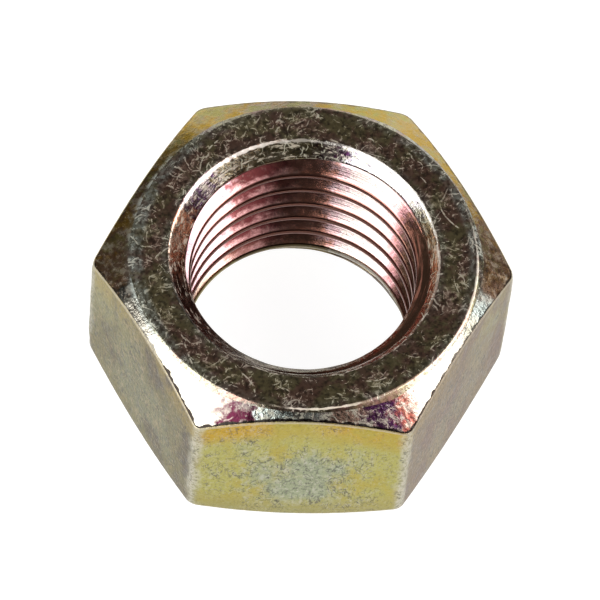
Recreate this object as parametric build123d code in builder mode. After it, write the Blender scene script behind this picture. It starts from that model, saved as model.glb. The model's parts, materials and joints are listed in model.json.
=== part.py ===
from build123d import *
from build123d.topology import SkipClean
import math
import os

# A plain hexagon nut with a coarse left-hand metric thread, forged and turned as one piece.
# It lies on its bearing face in the plane Z = 0, with the bore on the Z axis and one flat facing -Y,
# so two of its corners lie on the X axis. Sizes are in millimetres and angles in degrees.

# Thread
thread_diameter = 22.0      # root of the nut's thread, the size its bolt is named by
thread_pitch = 2.5          # climb for each turn
thread_angle = 60.0         # between the two flanks of a groove
crest_relief = 0.16         # on the radius, how far the tapping drill opens the basic crest
thread_start = 0.06         # height at which a groove's middle crosses the plane Y = 0 on the +X side
left_hand = True

# Body
flat_wall = 5.0             # metal between the thread's root and the middle of each flat
nut_height = 18.8
corner_round = 0.45         # the six upright corners, rounded by wear

# Turned ends
ring_set_in = 0.95          # the upper flat ring ends this far inside the flats
bearing_set_in = 1.7        # the lower one ends this far inside them
top_chamfer_slope = 37.0    # the cone that takes the corners off, below the upper ring
bottom_chamfer_slope = 28.0
ring_round = 0.35           # where each flat ring turns over into its cone
mouth_margin = 0.75         # each countersink opens this far outside the thread's root
countersink_angle = 82.0    # between opposite sides of its cone
mouth_round = 0.25          # where each flat ring turns down into its countersink

# How the groove is cut
crest_runs = 4              # faces round each turn of the crest
groove_overcut = 0.3        # the cutter reaches this far inside the bore, so that it leaves no skin

# A metric thread is a triangle as high as its flanks meet, with 1/8 of it cut off at the root and
# 1/4 at the crest. Groove and ridge are equally wide at the pitch radius.
half_angle = math.radians(thread_angle / 2)
triangle_height = thread_pitch / (2 * math.tan(half_angle))
root_radius = thread_diameter / 2
pitch_radius = root_radius - 3 / 8 * triangle_height
bore_radius = root_radius - 5 / 8 * triangle_height + crest_relief
cutter_radius = bore_radius - groove_overcut
turn_count = math.ceil(nut_height / thread_pitch) + 2

across_flats = thread_diameter + 2 * flat_wall
corner_radius = across_flats / (2 * math.cos(math.radians(30)))
ring_radius = across_flats / 2 - ring_set_in
bearing_radius = across_flats / 2 - bearing_set_in
mouth_radius = root_radius + mouth_margin


def groove_half_width(radius):
    """Half of the groove's width along Z at this radius."""
    return thread_pitch / 4 - (radius - pitch_radius) * math.tan(half_angle)


def chamfer_fall(from_radius, slope):
    """How far a turned chamfer has fallen where it reaches the corners."""
    return (corner_radius - from_radius) * math.tan(math.radians(slope))


# One turn of the groove, as the tap cuts it: widest inside the bore and nearly sharp at the root
with BuildPart() as groove_turn:
    with BuildSketch(Plane.XZ):
        with BuildLine():
            Polyline(
                (cutter_radius, -groove_half_width(cutter_radius)),
                (root_radius, -groove_half_width(root_radius)),
                (root_radius, groove_half_width(root_radius)),
                (cutter_radius, groove_half_width(cutter_radius)),
                close=True,
            )
        make_face()
    with BuildLine():
        lead = Helix(thread_pitch, thread_pitch, root_radius, lefthand=left_hand)
    sweep(path=lead, is_frenet=True)

with BuildPart() as nut:
    # The six flats and the corners between them
    with BuildSketch() as hexagon:
        RegularPolygon(radius=across_flats / 2, side_count=6, major_radius=False)
        fillet(hexagon.vertices(), radius=corner_round)
    extrude(amount=nut_height)

    # Both ends turned to a flat ring, with a cone outside it that takes the corners off
    with BuildSketch(Plane.XZ):
        with BuildLine():
            section = FilletPolyline(
                (0, 0),
                (bearing_radius, 0),
                (corner_radius, chamfer_fall(bearing_radius, bottom_chamfer_slope)),
                (corner_radius, nut_height - chamfer_fall(ring_radius, top_chamfer_slope)),
                (ring_radius, nut_height),
                (0, nut_height),
                radius=(ring_round, 0, 0, ring_round),
            )
            Line(section @ 1, section @ 0)
        make_face()
    revolve(axis=Axis.Z, mode=Mode.INTERSECT)

    # Drilled through and countersunk from both ends
    with Locations(Plane.XY.offset(nut_height), -Plane.XY):
        CounterSinkHole(
            radius=cutter_radius,
            counter_sink_radius=mouth_radius,
            counter_sink_angle=countersink_angle,
        )
    mouths = nut.edges().filter_by(GeomType.CIRCLE).filter_by(lambda edge: edge.radius == mouth_radius)
    fillet(mouths, radius=mouth_round)

    # Bored out to the crest of the thread, then tapped. The bore is cut in equal arcs that aren't
    # merged, so the crest is a row of short faces rather than one face that winds all the way up.
    with SkipClean():
        for run in range(crest_runs):
            with BuildSketch(Plane.XY.rotated((0, 0, run * 360 / crest_runs))):
                with BuildLine():
                    rim = CenterArc((0, 0), bore_radius, 0, 360 / crest_runs)
                    Polyline(rim @ 1, (0, 0), rim @ 0)
                make_face()
            extrude(amount=nut_height, mode=Mode.SUBTRACT)
        with Locations([(0, 0, thread_start + (turn - 1) * thread_pitch) for turn in range(turn_count)]):
            add(groove_turn.part, mode=Mode.SUBTRACT)

nut.part.label = "nut"
os.makedirs("parts", exist_ok=True)
export_step(nut.part, "parts/nut.step")
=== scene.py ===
import json
import math

import bpy
import numpy as np
from mathutils import Matrix, Vector


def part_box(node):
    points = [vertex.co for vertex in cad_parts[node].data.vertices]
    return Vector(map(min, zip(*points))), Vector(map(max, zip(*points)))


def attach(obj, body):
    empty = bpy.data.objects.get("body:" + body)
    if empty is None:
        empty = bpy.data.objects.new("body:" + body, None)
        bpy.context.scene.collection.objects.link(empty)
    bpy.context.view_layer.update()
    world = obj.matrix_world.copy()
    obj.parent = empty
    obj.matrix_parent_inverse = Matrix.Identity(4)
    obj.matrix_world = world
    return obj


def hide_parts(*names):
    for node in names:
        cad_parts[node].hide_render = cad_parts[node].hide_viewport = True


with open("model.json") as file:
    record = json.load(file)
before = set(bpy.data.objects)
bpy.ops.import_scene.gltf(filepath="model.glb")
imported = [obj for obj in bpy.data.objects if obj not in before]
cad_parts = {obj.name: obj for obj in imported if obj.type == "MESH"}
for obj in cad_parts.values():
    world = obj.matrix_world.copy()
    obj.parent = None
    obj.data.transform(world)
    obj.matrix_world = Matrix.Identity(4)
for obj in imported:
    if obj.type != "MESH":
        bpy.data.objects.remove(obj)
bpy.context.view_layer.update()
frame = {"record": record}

bl_info = {
    "name": "Plated threaded nut",
    "version": (1, 0, 0),
    "blender": (4, 5, 0),
    "location": "View3D > Sidebar > Plated Nut",
    "description": "Makes a worn, yellow-plated hexagon nut with a left-hand thread, and a studio round it",
    "category": "Add Mesh",
}

# Lengths are in metres, in the packed model's own frame: bearing face down at height nought, the bore
# on the Z axis, one flat facing -Y and two corners on the X axis.

NODE = "nut"
LOW_CORNER, HIGH_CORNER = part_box(NODE)
THREAD_MOUNT = next(mount for mount in frame["record"]["mounts"] if mount["kind"] == "threaded_hole")
METRES_PER_MM = 0.001
WHITE = (1.0, 1.0, 1.0)

FLATS = 6
SIXTH = 2 * math.pi / FLATS
HALF_SIXTH = SIXTH / 2


# Sizes and colours that a user may change


def length_property(name, description, default):
    """A size in metres."""
    return bpy.props.FloatProperty(name=name, description=description, default=default, unit="LENGTH")


def angle_property(name, description, default):
    """An angle, kept in radians and shown in degrees."""
    return bpy.props.FloatProperty(name=name, description=description, default=default, subtype="ANGLE")


def shift_property(name, description, default):
    """Two sizes in metres, along X and Y."""
    return bpy.props.FloatVectorProperty(
        name=name, description=description, default=default, size=2, unit="LENGTH"
    )


def colour_property(name, description, default):
    """A colour, as the share of red, green and blue light that it gives back."""
    return bpy.props.FloatVectorProperty(
        name=name, description=description, default=default, size=3, subtype="COLOR"
    )


class NutShape(bpy.types.PropertyGroup):
    """Sizes of the hexagon and of its turned ends"""

    across_flats: length_property(
        "Across flats", "Distance between two opposite flats", HIGH_CORNER.y - LOW_CORNER.y
    )
    height: length_property(
        "Height", "From the bearing face to the upper face", HIGH_CORNER.z - LOW_CORNER.z
    )
    corner_round: length_property(
        "Corner round", "Radius of the six upright corners where they are least worn", 0.00045
    )
    corner_wear: length_property(
        "Corner wear", "How much that radius grows where a corner is worn most", 0.00075
    )
    ring_set_in: length_property("Ring set-in", "How far inside the flats the upper face ends", 0.00095)
    bearing_set_in: length_property(
        "Bearing set-in", "How far inside the flats the bearing face ends", 0.0017
    )
    upper_slope: angle_property("Upper chamfer", "Slope of the cone below the upper face", math.radians(37))
    lower_slope: angle_property(
        "Lower chamfer", "Slope of the cone above the bearing face", math.radians(28)
    )
    mouth_margin: length_property(
        "Countersink margin", "How far outside the thread's root a countersink opens", 0.00055
    )
    countersink_angle: angle_property(
        "Countersink", "Angle between opposite sides of a countersink", math.radians(82)
    )
    ring_roll: length_property(
        "Ring roll", "How far from its outer edge the upper face starts to roll over", 0.00022
    )
    mouth_roll: length_property(
        "Mouth roll", "How far from its mouth a countersink starts to roll over", 0.00013
    )
    mouth_wear: length_property(
        "Mouth wear", "How much that distance grows where the upper mouth is worn most", 0.00010
    )
    worn_side: angle_property(
        "Worn side", "Angle from the X axis to the side of the mouth that is worn most", math.radians(135)
    )
    worn_spread: angle_property(
        "Worn spread", "Angle from there to where the wear has faded to a third", math.radians(35)
    )
    edge_roll: length_property(
        "Edge roll",
        "How far from an edge between a chamfer and a flat the metal starts to roll over",
        0.00012,
    )
    ring_shift: shift_property(
        "Ring shift",
        "How far the turned upper face is off the hexagon's centre, along X and Y",
        (-0.00014, 0.00002),
    )
    ring_worn: length_property(
        "Ring worn",
        "How far the edge of the upper face is worn in from the turned circle, on average",
        0.00018,
    )
    worn_shift: shift_property(
        "Worn shift",
        "How far the worn edge is off the turned circle's centre, along X and Y",
        (0.00027, -0.00011),
    )
    mouth_shift: shift_property(
        "Mouth shift",
        "How far the countersinks are off the hexagon's centre, along X and Y",
        (-0.00003, -0.00010),
    )
    bore_shift: shift_property(
        "Bore shift", "How far the bore is off the hexagon's centre, along X and Y", (0.00003, -0.00016)
    )
    columns: bpy.props.IntProperty(
        name="Columns", description="Steps of the surface round the axis", default=408, min=120
    )


class NutThread(bpy.types.PropertyGroup):
    """Sizes of the tapped thread"""

    crest_radius: length_property(
        "Crest radius", "From the axis to the thread's crest", THREAD_MOUNT["dims"]["r_mm"] * METRES_PER_MM
    )
    root_radius: length_property(
        "Root radius",
        "From the axis to the bottom of the groove, a little deeper than the thread's basic size",
        0.0112,
    )
    pitch: length_property("Pitch", "Climb of the thread for each turn", 0.0025)
    flank_angle: angle_property(
        "Thread angle", "Angle between the two flanks of the groove", math.radians(60)
    )
    start: length_property(
        "Start", "Height at which a groove's middle crosses the plane Y = 0 on the +X side", 0.00006
    )
    crest_roll: length_property(
        "Crest roll", "How far from the edges of its crest the thread starts to round over", 0.00025
    )
    root_roll: length_property(
        "Root roll", "How far from the edges of its root the thread starts to round over", 0.00010
    )


class NutFinish(bpy.types.PropertyGroup):
    """Colours of the zinc plate and of its passivated film, with a few painted highlights, glints and shade
    among them
    """

    mustard: colour_property(
        "Mustard", "The film on the front flat and beside the rearmost one", (0.375, 0.31, 0.045)
    )
    orange: colour_property(
        "Orange",
        "The thinner film near the ends of a mustard flat, and in the gold of the chamfers",
        (0.455, 0.28, 0.003),
    )
    sage: colour_property("Sage", "The thick, grey-green film in patches on the flats", (0.275, 0.31, 0.19))
    beige: colour_property(
        "Beige", "The dull film on the left front flat and on the rearmost one", (0.078, 0.06, 0.028)
    )
    rose: colour_property("Rose", "The pinkish film on the right front flat", (0.158, 0.098, 0.066))
    gold: colour_property("Gold", "The film on the chamfers at the back", (0.47, 0.33, 0.1))
    olive: colour_property(
        "Olive", "The greener film in broad washes on the flats and the back chamfers", (0.37, 0.36, 0.10)
    )
    moss: colour_property(
        "Moss",
        "The darker film at the foot of the thread and on the left of the countersink",
        (0.19, 0.15, 0.08),
    )
    ash: colour_property("Ash", "Dull grey-green, where the film is scuffed", (0.42, 0.42, 0.33))
    frost: colour_property(
        "Frost", "The nearly clear film on the far right of the countersink", (0.58, 0.55, 0.6)
    )
    chalk: colour_property(
        "Chalk",
        "Pale dull zinc, at worn corners and in scratches of the chamfers and countersinks",
        (0.6, 0.55, 0.45),
    )
    bare: colour_property(
        "Bare zinc", "Zinc with its film rubbed off, at edges and in scratches", (0.52, 0.49, 0.41)
    )
    soot: colour_property(
        "Soot",
        "Dark specks and veins, and the darkest film of the chamfers and countersinks",
        (0.055, 0.045, 0.04),
    )
    bronze: colour_property("Bronze", "The film on the end faces", (0.36, 0.215, 0.165))
    umber: colour_property(
        "Umber", "The olive brown film on the end faces and countersinks", (0.4, 0.345, 0.19)
    )
    slate: colour_property(
        "Slate",
        "The blue-grey film along the edges of the end faces and on the front chamfer",
        (0.52, 0.6, 0.56),
    )
    violet: colour_property(
        "Violet", "The film beside the brightest parts of a chamfer", (0.058, 0.016, 0.068)
    )
    magenta: colour_property(
        "Magenta", "The film on the front chamfer towards the left", (0.075, 0.012, 0.03)
    )
    ember: colour_property("Ember", "The film on the front chamfer towards the right", (0.36, 0.11, 0.07))
    lilac: colour_property("Lilac", "The film on the left of the countersink", (0.13, 0.072, 0.144))
    copper: colour_property("Copper", "The film on the sides of the countersink", (0.8, 0.37, 0.21))
    # Rust is also the painted glint on the thread's flanks at the back.
    rust: colour_property("Rust", "The film on the right of the countersink", (0.58, 0.25, 0.18))
    pewter: colour_property("Pewter", "Dull marks and grime on the end faces", (0.42, 0.41, 0.33))
    pitch: colour_property("Pitch", "The torn dark line beside the flats", (0.028, 0.023, 0.019))
    # Pearl is a painted highlight on the countersinks' rims, over their rubbed zinc.
    pearl: colour_property("Pearl", "The bright rim of the countersink", (0.88, 0.85, 0.78))
    cream: colour_property("Cream", "Palest flanks of the thread, at the right", (0.50, 0.42, 0.39))
    rosewood: colour_property(
        "Rosewood", "Flanks between the lit and the dark parts of the thread", (0.46, 0.22, 0.23)
    )
    walnut: colour_property(
        "Walnut",
        "Dark film of the chamfers at the side corners, and of the thread in front",
        (0.21, 0.115, 0.075),
    )
    tan: colour_property(
        "Tan", "Pinkish film in the middle of the back chamfer and of the front one", (0.44, 0.34, 0.25)
    )
    # Petal is a painted glint: the highlight on the upper part of those flanks.
    petal: colour_property(
        "Petal", "Bright upper part of the flanks beside the left lit part", (0.85, 0.55, 0.52)
    )
    # Garnet is painted shade: the darker copy of the flanks' film under that glint.
    garnet: colour_property("Garnet", "Dark lower part of those flanks", (0.19, 0.06, 0.06))
    # Ivory is a painted highlight on the lit foot of the thread and along parts of the end faces' rubbed
    # edges.
    ivory: colour_property(
        "Ivory",
        "Foot of the thread where it is lit, and the rubbed edges of the end faces",
        (0.95, 0.9, 0.76),
    )
    fern: colour_property(
        "Fern", "Foot of the yellow flats, and their stained upper corners", (0.27, 0.26, 0.11)
    )
    fawn: colour_property("Fawn", "Grain and fine scratches of the dull flats", (0.43, 0.35, 0.24))
    gloom: colour_property(
        "Gloom", "Dark slate where the left chamfer begins to shine", (0.035, 0.045, 0.047)
    )
    maroon: colour_property("Maroon", "The film on the crest of the thread", (0.3, 0.14, 0.11))
    blush: colour_property("Blush", "The pink film on the thread's flanks", (0.46, 0.31, 0.33))
    russet: colour_property(
        "Russet", "The redder film on the thread's flanks in front and at the back", (0.31, 0.155, 0.12)
    )
    straw: colour_property("Straw", "The yellow film on the lowest turn of the thread", (0.42, 0.36, 0.17))


class StudioSet(bpy.types.PropertyGroup):
    """The floor, the lamps and the camera"""

    floor_radius: length_property("Floor radius", "Radius of the round floor", 3.0)
    lamp_radiance: bpy.props.FloatProperty(
        name="Lamp radiance",
        description="How bright the face of each soft box is, where 1 is white",
        default=4.2,
    )
    halo: colour_property("Halo", "The wall round the right soft box, lit by it", (0.95, 0.7, 0.72))
    front_ceiling: colour_property(
        "Front ceiling",
        "The unlit room on the camera's side, which the metal mirrors above the soft boxes",
        (0.062, 0.056, 0.05),
    )
    ceiling: colour_property("Ceiling", "The unlit room on the far side", (0.125, 0.118, 0.108))
    camera_distance: length_property("Camera distance", "From the middle of the nut to the camera", 0.5646)
    camera_azimuth: angle_property(
        "Camera azimuth",
        "Turn of the camera round Z, from straight in front of the flat that faces -Y",
        math.radians(-5.396),
    )
    camera_elevation: angle_property(
        "Camera elevation", "Angle of the view above the floor", math.radians(61.209)
    )
    camera_roll: angle_property(
        "Camera roll", "Turn of the camera about its own line of sight", math.radians(6.188)
    )
    camera_tilt: angle_property("Camera tilt", "How far above the nut's middle the camera points", 0.0012)
    lens: bpy.props.FloatProperty(
        name="Lens", description="Focal length on a 36 mm sensor", default=385.0, subtype="DISTANCE_CAMERA"
    )


# The nut's surface


def off_centre(angles, shift):
    """How much a circle's radius seems to change when it is moved by a small shift: the shift's part
    along each ray from the axis."""
    return shift[0] * np.cos(angles) + shift[1] * np.sin(angles)


def slow_waves(places, lengths, seed):
    """An uneven line between about -1 and 1: sine waves of the given lengths, each with its own random
    start, added up and shared out."""
    starts = np.random.default_rng(seed).uniform(0, 2 * math.pi, len(lengths))
    waves = [np.sin(2 * math.pi * places / length + start) for length, start in zip(lengths, starts)]
    return sum(waves) / math.sqrt(len(lengths))


def column_angles(columns):
    """Angles round the axis: an even division, pulled towards the six corners by a sine with six waves."""
    crowding = 0.6
    even = np.arange(columns) * 2 * math.pi / columns
    return even - crowding * np.sin(FLATS * even) / FLATS


def angle_from_corner(angles):
    """Angle from the nearest corner of the hexagon, less than nought on one side of it."""
    return (angles + HALF_SIXTH) % SIXTH - HALF_SIXTH


def hexagon_radius(angles, half_width, corner_round):
    """Distance from the axis to a hexagon with rounded corners. On a flat it is half the width across
    flats over the cosine of the angle from the flat's middle, and near a corner it is where the ray
    leaves the corner's circle."""
    turned = angle_from_corner(angles)
    flat = half_width / np.cos(HALF_SIXTH - np.abs(turned))
    centre = (half_width - corner_round) / math.cos(HALF_SIXTH)
    spare = corner_round**2 - (centre * np.sin(turned)) ** 2
    arc = centre * np.cos(turned) + np.sqrt(np.maximum(spare, 0))
    touch = np.arctan2(corner_round * math.sin(HALF_SIXTH), centre + corner_round * math.cos(HALF_SIXTH))
    return np.where(np.abs(turned) < touch, arc, flat)


def groove_edges(thread):
    """Half widths along Z of a groove at its root and at the crest. Groove and ridge are equally wide
    at the pitch radius, which lies 3/8 of the thread triangle's height inside the root."""
    slope = math.tan(thread.flank_angle / 2)
    triangle = thread.pitch / (2 * slope)
    pitch_radius = thread.root_radius - 3 / 8 * triangle
    at_root = thread.pitch / 4 - (thread.root_radius - pitch_radius) * slope
    at_crest = thread.pitch / 4 - (thread.crest_radius - pitch_radius) * slope
    return at_root, at_crest


def bend(before, corner, after, reach, steps, lead=1.0):
    """A corner of the section, rounded by a parabola that starts `lead` times `reach` before it and ends
    `reach` after it. Each point is a pair of arrays, radius and height, with a value for each column."""
    into = corner - before
    out = after - corner
    start = corner - lead * reach * into / np.hypot(*into)
    end = corner + reach * out / np.hypot(*out)
    share = np.linspace(0, 1, steps + 1)[:, None, None]
    return (1 - share) ** 2 * start + 2 * share * (1 - share) * corner + share**2 * end


def between(start, end, count):
    """Evenly spaced points on the straight line from one point of the section to another, without its
    ends."""
    share = np.linspace(0, 1, count + 2)[1:-1, None, None]
    return start + share * (end - start)


def thread_profile(thread):
    """One pitch of the thread's section, from the middle of a crest to just before the next one, as
    radii and as heights above the groove's middle. Straight flanks run from the root to the crest, and
    parabolas round the edges of both."""
    at_root, at_crest = groove_edges(thread)
    heights = [0.0, at_root, at_crest, thread.pitch / 2]
    radii = [thread.root_radius, thread.root_radius, thread.crest_radius, thread.crest_radius]
    corners = np.stack([radii, heights], axis=-1)[:, :, None]
    root = bend(*corners[:3], thread.root_roll, 2)
    crest = bend(*corners[1:], thread.crest_roll, 4)
    upper = np.concatenate([root, between(root[-1], crest[0], 3), crest])[:, :, 0]
    lower = upper[::-1] * (1, -1)
    return np.concatenate([[(thread.crest_radius, -thread.pitch / 2)], lower, upper]).T


THROAT_DEPTH = 0.001  # how deep in a countersink the section starts and ends


class Section:
    """The nut's section in every column, from the upper edge of the bore, out over the upper face, down
    the flats and back under it to the bore's lower edge, as rows of radii and heights."""

    def __init__(self, shape, thread):
        self.shape = shape
        self.thread = thread
        self.angles = column_angles(shape.columns)
        self.half_width = shape.across_flats / 2
        self.lean = shape.countersink_angle / 2
        self.mouth = shape.mouth_margin + thread.root_radius + off_centre(self.angles, shape.mouth_shift)
        self.rows = []
        self.bands = {}

    def add(self, band, points):
        """Appends rows of points and remembers which band of the nut they belong to."""
        first = sum(len(run) for run in self.rows)
        self.rows.append(points)
        self.bands[band] = (first, first + len(points))

    def worn_round(self, heights):
        """Radius of the upright corners. Each corner is worn by its own slow waves along the height,
        and more towards both ends."""
        corner = np.round(self.angles / SIXTH) * SIXTH
        waves = slow_waves(heights + corner * self.shape.height, (0.0051, 0.0023, 0.0011), seed=3)
        to_end = np.minimum(heights, self.shape.height - heights)
        uneven, worn_end, fade = 0.35, 0.0027, 0.0012
        near_end = np.exp(-np.maximum(to_end - worn_end, 0) / fade)
        wear = np.clip(uneven * waves + near_end, 0, 1)
        return self.shape.corner_round + self.shape.corner_wear * wear

    def outline(self, heights):
        """Radius of the hexagon at these heights."""
        return hexagon_radius(self.angles, self.half_width, self.worn_round(heights))

    def chamfer_corner(self, ring_radius, slope, upwards):
        """Where a turned chamfer meets the flats: the cone's height at the hexagon's radius, with small
        nicks where the cut tore the edge."""
        around = self.angles * self.half_width
        nick_depth, below_edge = 0.00002, 0.002
        waves = slow_waves(around, (0.0031, 0.0013, 0.0007, 0.00043), seed=11)
        nicks = nick_depth * np.maximum(waves, 0)
        level = self.shape.height if upwards else 0.0
        sign = -1 if upwards else 1
        radius = self.outline(np.full_like(self.angles, level + sign * below_edge))
        height = level + sign * ((radius - ring_radius) * math.tan(slope) + nicks)
        return np.stack([radius, height])

    def mouth_reach(self):
        """How far from the upper mouth its rounding starts: uneven slow waves, and further round the
        side where it is worn most, in the shape of a bell."""
        waves = slow_waves(self.angles * self.half_width, (0.017, 0.0037, 0.0011), seed=5)
        away = (self.angles - self.shape.worn_side + math.pi) % (2 * math.pi) - math.pi
        bell = np.exp(-((away / self.shape.worn_spread) ** 2))
        uneven, least, most = 0.4, 0.5, 1.8
        reach = self.shape.mouth_roll + self.shape.mouth_wear * bell
        return reach * np.clip(1 + uneven * waves, least, most)

    def build(self):
        """Works out all the rows outside the bore."""
        shape = self.shape
        ring = self.half_width - shape.ring_set_in + off_centre(self.angles, shape.ring_shift)
        bearing = self.half_width - shape.bearing_set_in + np.zeros_like(self.angles)
        full = np.full_like(self.angles, shape.height)
        floor = np.zeros_like(self.angles)
        drop = np.full_like(self.angles, THROAT_DEPTH)
        run_in = drop * math.tan(self.lean)

        worn_ring = ring - shape.ring_worn + off_centre(self.angles, shape.worn_shift)
        corners = np.array([
            (self.mouth - run_in, full - drop), (self.mouth, full), (worn_ring, full),
            self.chamfer_corner(ring, shape.upper_slope, upwards=True),
            self.chamfer_corner(bearing, shape.lower_slope, upwards=False),
            (bearing, floor), (self.mouth, floor), (self.mouth - run_in, drop),
        ])
        rolls = [  # reach, steps and lead of the rounding at each corner but the first and last
            (self.mouth_reach(), 7, 2.2), (shape.ring_roll, 5), (shape.edge_roll, 3),
            (shape.edge_roll, 3), (shape.ring_roll, 4), (shape.mouth_roll, 4),
        ]
        mouth_roll, ring_roll, edge_roll, lower_roll, bearing_roll, throat_roll = (
            bend(*corners[first : first + 3], *roll) for first, roll in enumerate(rolls)
        )

        self.add("mouth", mouth_roll[:6])
        self.add("ring side", mouth_roll[6:])
        self.add("ring", between(mouth_roll[-1], ring_roll[0], 5))
        self.add("ring edge", ring_roll)
        self.add("chamfer", between(ring_roll[-1], edge_roll[0], 6))
        self.add("upper edge", edge_roll)
        flats = between(edge_roll[-1], lower_roll[0], 16)
        flats[:, 0] = self.outline(flats[:, 1])
        self.add("flats", flats)
        self.add("lower edge", lower_roll)
        self.add("lower chamfer", between(lower_roll[-1], bearing_roll[0], 5))
        self.add("bearing edge", bearing_roll)
        self.add("bearing", between(bearing_roll[-1], throat_roll[0], 4))
        self.add("lower mouth", throat_roll)
        return np.concatenate(self.rows)

    def path_lengths(self, points):
        """Distance along the section from its first row, in every column."""
        steps = np.hypot(*np.moveaxis(np.diff(points, axis=0), 1, 0))
        return np.concatenate([np.zeros((1, points.shape[2])), np.cumsum(steps, axis=0)])

    def from_bands(self, along, names):
        """Distance along the section to the middle of the nearest of the named bands."""
        middles = [(self.bands[name][0] + self.bands[name][1]) // 2 for name in names]
        return np.minimum.reduce([np.abs(along - along[middle]) for middle in middles])

    def round_nut(self):
        """Distance round the nut along the flats, from the corner on the +X side."""
        side = np.floor(self.angles / SIXTH)
        from_middle = self.angles - (side + 0.5) * SIXTH
        return (side + 0.5) * self.half_width / math.cos(HALF_SIXTH) + self.half_width * np.tan(from_middle)

    def band_of_rows(self, names):
        """A mask of the rows that belong to the named bands."""
        mask = np.zeros(sum(len(run) for run in self.rows), bool)
        for name in names:
            first, last = self.bands[name]
            mask[first:last] = True
        return mask


class Bore:
    """The wall of the bore between its upper and lower edge. Its rows wind down with the left-hand
    thread, so that each keeps to one point of the thread's section: a row's height falls by one pitch
    for each turn, and after a whole turn it runs on as the row one pitch further down. The radius is
    the larger of the thread's and the countersinks', so the grooves run out into the cones. Where a row
    passes an edge of the bore, its points fall together with the edge's own."""

    def __init__(self, section, top, bottom):
        shape, thread, angles = section.shape, section.thread, section.angles
        profile, offsets = thread_profile(thread)
        self.rows_per_turn = len(profile)
        turns = np.arange(-1, math.ceil(shape.height / thread.pitch) + 2)
        starts = thread.start + thread.pitch * turns[:, None] + offsets
        heights = starts.reshape(-1, 1) - thread.pitch * angles / (2 * math.pi)
        tapped = np.tile(profile, len(turns))[:, None] + off_centre(angles, shape.bore_shift)
        away = np.tile(np.abs(offsets), len(turns))[:, None] + np.zeros_like(angles)

        clearance = 0.00004
        above = heights > top[1] - clearance
        below = heights < bottom[1] + clearance
        upper = section.mouth - (shape.height - heights) * math.tan(section.lean)
        lower = section.mouth - heights * math.tan(section.lean)
        cone = np.maximum(upper, lower)
        self.above, self.below = above, below
        self.kept = ~(above | below)
        self.heights = heights[self.kept]
        self.radii = np.maximum(tapped, cone)[self.kept]
        self.angles = np.broadcast_to(angles, heights.shape)[self.kept]
        self.cone_lead = (cone - tapped)[self.kept]
        self.away = away[self.kept]

    def triangles(self, first_free, top_index, bottom_index):
        """Two triangles for each cell of the winding grid, without those that have fallen together. The
        wall's points are numbered from `first_free` on."""
        number = first_free - 1 + np.cumsum(self.kept).reshape(self.kept.shape)
        number = np.where(self.above, top_index, np.where(self.below, bottom_index, number))
        carried = np.concatenate(
            [np.full(self.rows_per_turn, bottom_index[0]), number[: -self.rows_per_turn, 0]]
        )
        number = np.column_stack([number, carried])
        here, here_next = number[:-1, :-1], number[:-1, 1:]
        on, on_next = number[1:, :-1], number[1:, 1:]
        halves = [np.stack([here, on, on_next], axis=-1), np.stack([here, on_next, here_next], axis=-1)]
        both = np.concatenate(halves).reshape(-1, 3)
        apart = (both[:, 0] != both[:, 1]) & (both[:, 1] != both[:, 2]) & (both[:, 2] != both[:, 0])
        return both[apart]


def grid_quads(rows, columns):
    """Faces of a grid of rows that close on themselves, wound so that they look outwards."""
    row = np.arange(rows - 1)[:, None]
    column = np.arange(columns)[None]
    here = row * columns + column
    here_next = row * columns + (column + 1) % columns
    return np.stack([here, here + columns, here_next + columns, here_next], axis=-1).reshape(-1, 4)


def surface_mesh(name, places, triangles, quads):
    """A smooth mesh from arrays of places and faces, triangles first."""
    mesh = bpy.data.meshes.new(name)
    corners = np.concatenate([triangles.ravel(), quads.ravel()])
    totals = np.concatenate([np.full(len(triangles), 3), np.full(len(quads), 4)])
    starts = np.concatenate([[0], np.cumsum(totals)[:-1]])
    mesh.vertices.add(len(places))
    mesh.vertices.foreach_set("co", places.ravel())
    mesh.loops.add(len(corners))
    mesh.loops.foreach_set("vertex_index", corners.astype(np.int32))
    mesh.polygons.add(len(totals))
    mesh.polygons.foreach_set("loop_start", starts.astype(np.int32))
    mesh.polygons.foreach_set("loop_total", totals.astype(np.int32))
    mesh.polygons.foreach_set("use_smooth", np.ones(len(totals), bool))
    mesh.update(calc_edges=True)
    mesh.validate()
    return mesh


def keep_on_points(mesh, name, *values):
    """Stores one number for each point, which a material reads by this name."""
    layer = mesh.attributes.new(name, "FLOAT", "POINT")
    layer.data.foreach_set("value", np.concatenate([np.ravel(part) for part in values]).astype(np.float32))


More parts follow.
